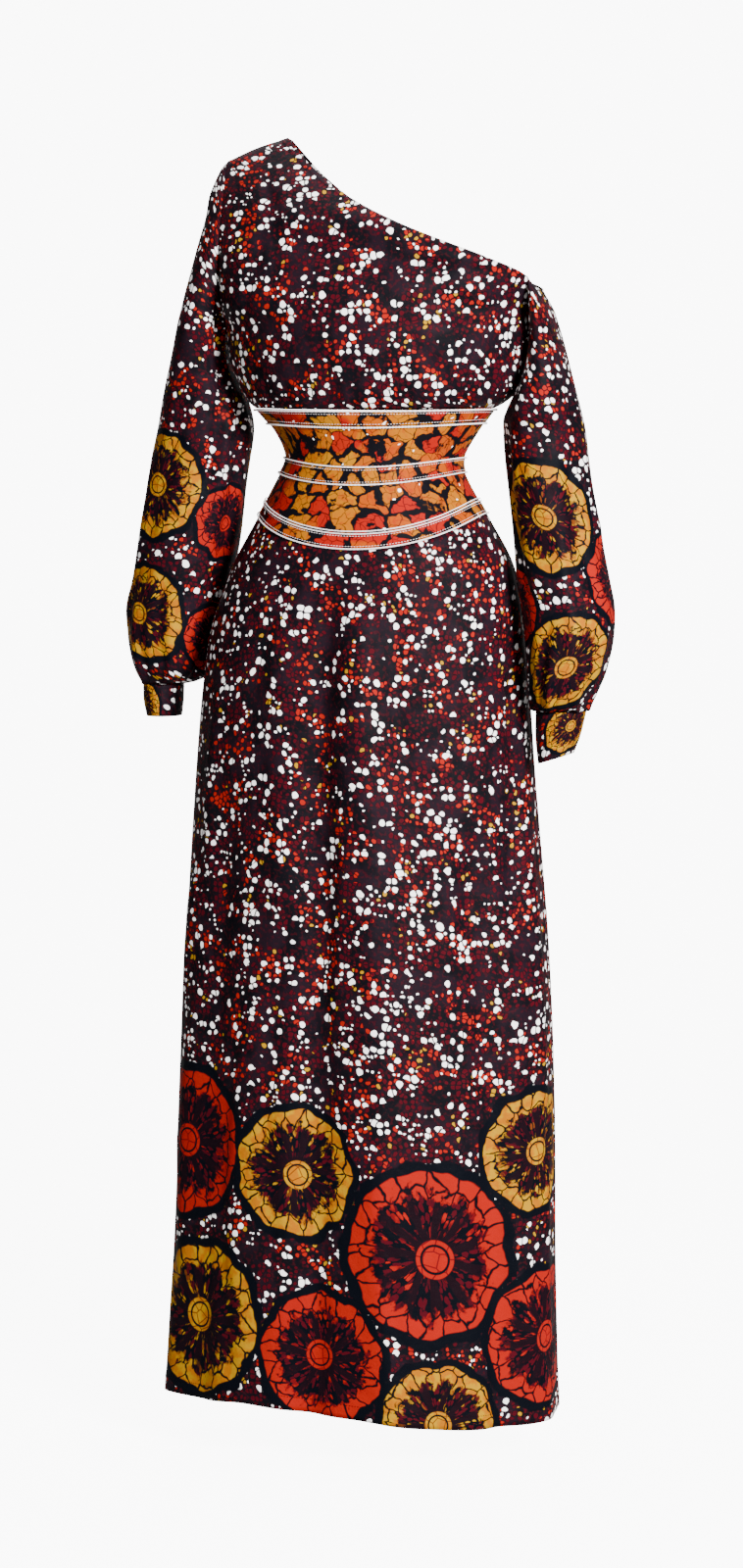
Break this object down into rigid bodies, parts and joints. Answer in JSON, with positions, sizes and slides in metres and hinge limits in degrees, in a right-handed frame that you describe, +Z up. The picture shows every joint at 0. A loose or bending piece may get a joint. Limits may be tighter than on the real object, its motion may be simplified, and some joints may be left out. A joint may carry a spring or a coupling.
{
  "type": "ankara wax print dress",
  "caption": "Long one-shoulder wax print dress with bishop sleeves, a shaped waist panel edged in white piping and a straight flared skirt, in its worn hollow form.",
  "frame": {"origin": "under the cloth at the top of the wearer's right shoulder, on the shoulder seam, where the wearer holds the dress up", "axes": "+Z up along the body, -Y towards the front of the dress, +X towards the wearer's left"},
  "size_m": [0.5617, 0.2806, 1.3826],
  "materials": {
    "wax_print": "printed cotton with a light wax sheen, dark ground with white, red and amber motifs",
    "waist_print": "printed cotton with a light wax sheen, amber, orange and red patches with dark veins",
    "white_trim": "white corded piping, matt"
  },
  "bodies": {
    "root": {"bodice_front": "wax_print", "bodice_back": "wax_print", "sleeve_right_front": "wax_print", "sleeve_right_back": "wax_print", "cuff_right": "wax_print", "sleeve_left_front": "wax_print", "sleeve_left_back": "wax_print", "cuff_left": "wax_print", "skirt_front": "wax_print", "skirt_back": "wax_print", "midriff_front": "waist_print", "band_low_front": "waist_print", "band_middle_front": "waist_print", "band_high_front": "waist_print", "piping_1_front": "white_trim", "piping_2_front": "white_trim", "piping_3_front": "white_trim", "piping_4_front": "white_trim", "piping_5_front": "white_trim", "piping_6_front": "white_trim", "midriff_back": "waist_print", "band_low_back": "waist_print", "band_middle_back": "waist_print", "band_high_back": "waist_print", "piping_1_back": "white_trim", "piping_2_back": "white_trim", "piping_3_back": "white_trim", "piping_4_back": "white_trim", "piping_5_back": "white_trim", "piping_6_back": "white_trim"}
  },
  "joints": []
}
